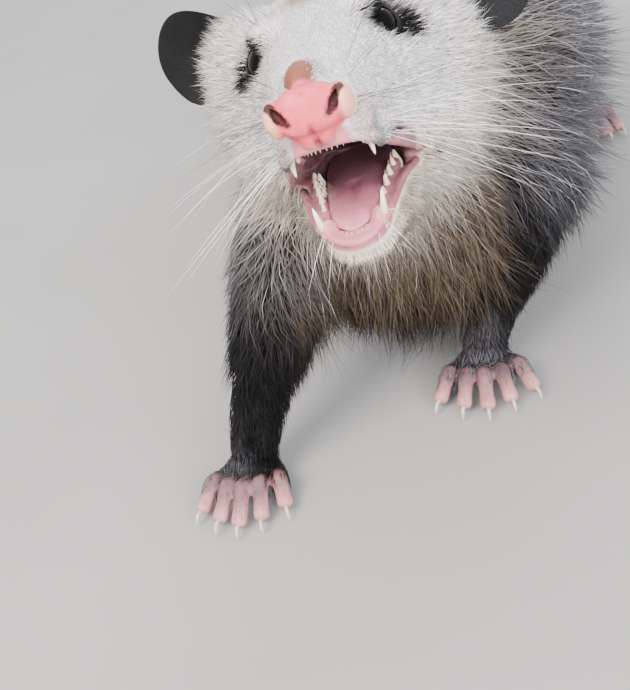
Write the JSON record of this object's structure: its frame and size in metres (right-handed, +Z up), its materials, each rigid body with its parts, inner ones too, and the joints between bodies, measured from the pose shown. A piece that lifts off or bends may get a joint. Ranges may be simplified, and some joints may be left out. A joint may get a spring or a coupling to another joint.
{
  "type": "opossum",
  "caption": "Life-size adult Virginia opossum, standing still on its feet and tail with its head raised and mouth wide open, long grey coat, pale face and bare tail.",
  "frame": {"origin": "centre of the bounding box's bottom face, on the floor under the belly", "axes": "+X to the animal's own left, +Y from the nose back to the tip of the tail, +Z up from the floor"},
  "size_m": [0.1808, 0.6872, 0.1664],
  "materials": {
    "pale_fur": "short soft fur, white on the face and cream on the cheeks",
    "grey_fur": "long coarse coat, grey and brown underfur with white and black tips",
    "black_fur": "short black fur on the legs",
    "pink_skin": "bare pink skin with fine creases",
    "black_skin": "thin bare black skin of the ears and the root of the tail",
    "tail_skin": "bare skin in rings of small scales",
    "wet_tongue": "moist pink tongue and gums",
    "wet_eye": "wet black eye",
    "tooth_enamel": "cream enamel of teeth",
    "claw_horn": "translucent pale horn of claws"
  },
  "bodies": {
    "root": {"head": "pale_fur", "lower_jaw": "pale_fur", "nose": "pink_skin", "tongue": "wet_tongue", "eye_left": "wet_eye", "eye_right": "wet_eye", "ear_left": "black_skin", "ear_right": "black_skin", "neck": "grey_fur", "torso": "grey_fur", "fore_leg_left": "black_fur", "fore_leg_right": "black_fur", "hind_leg_left": "black_fur", "hind_leg_right": "black_fur", "fore_foot_left": "pink_skin", "fore_foot_right": "pink_skin", "hind_foot_left": "pink_skin", "hind_foot_right": "pink_skin", "tail_base": "black_skin", "tail_middle": "tail_skin", "tail_end": "tail_skin"}
  },
  "joints": []
}
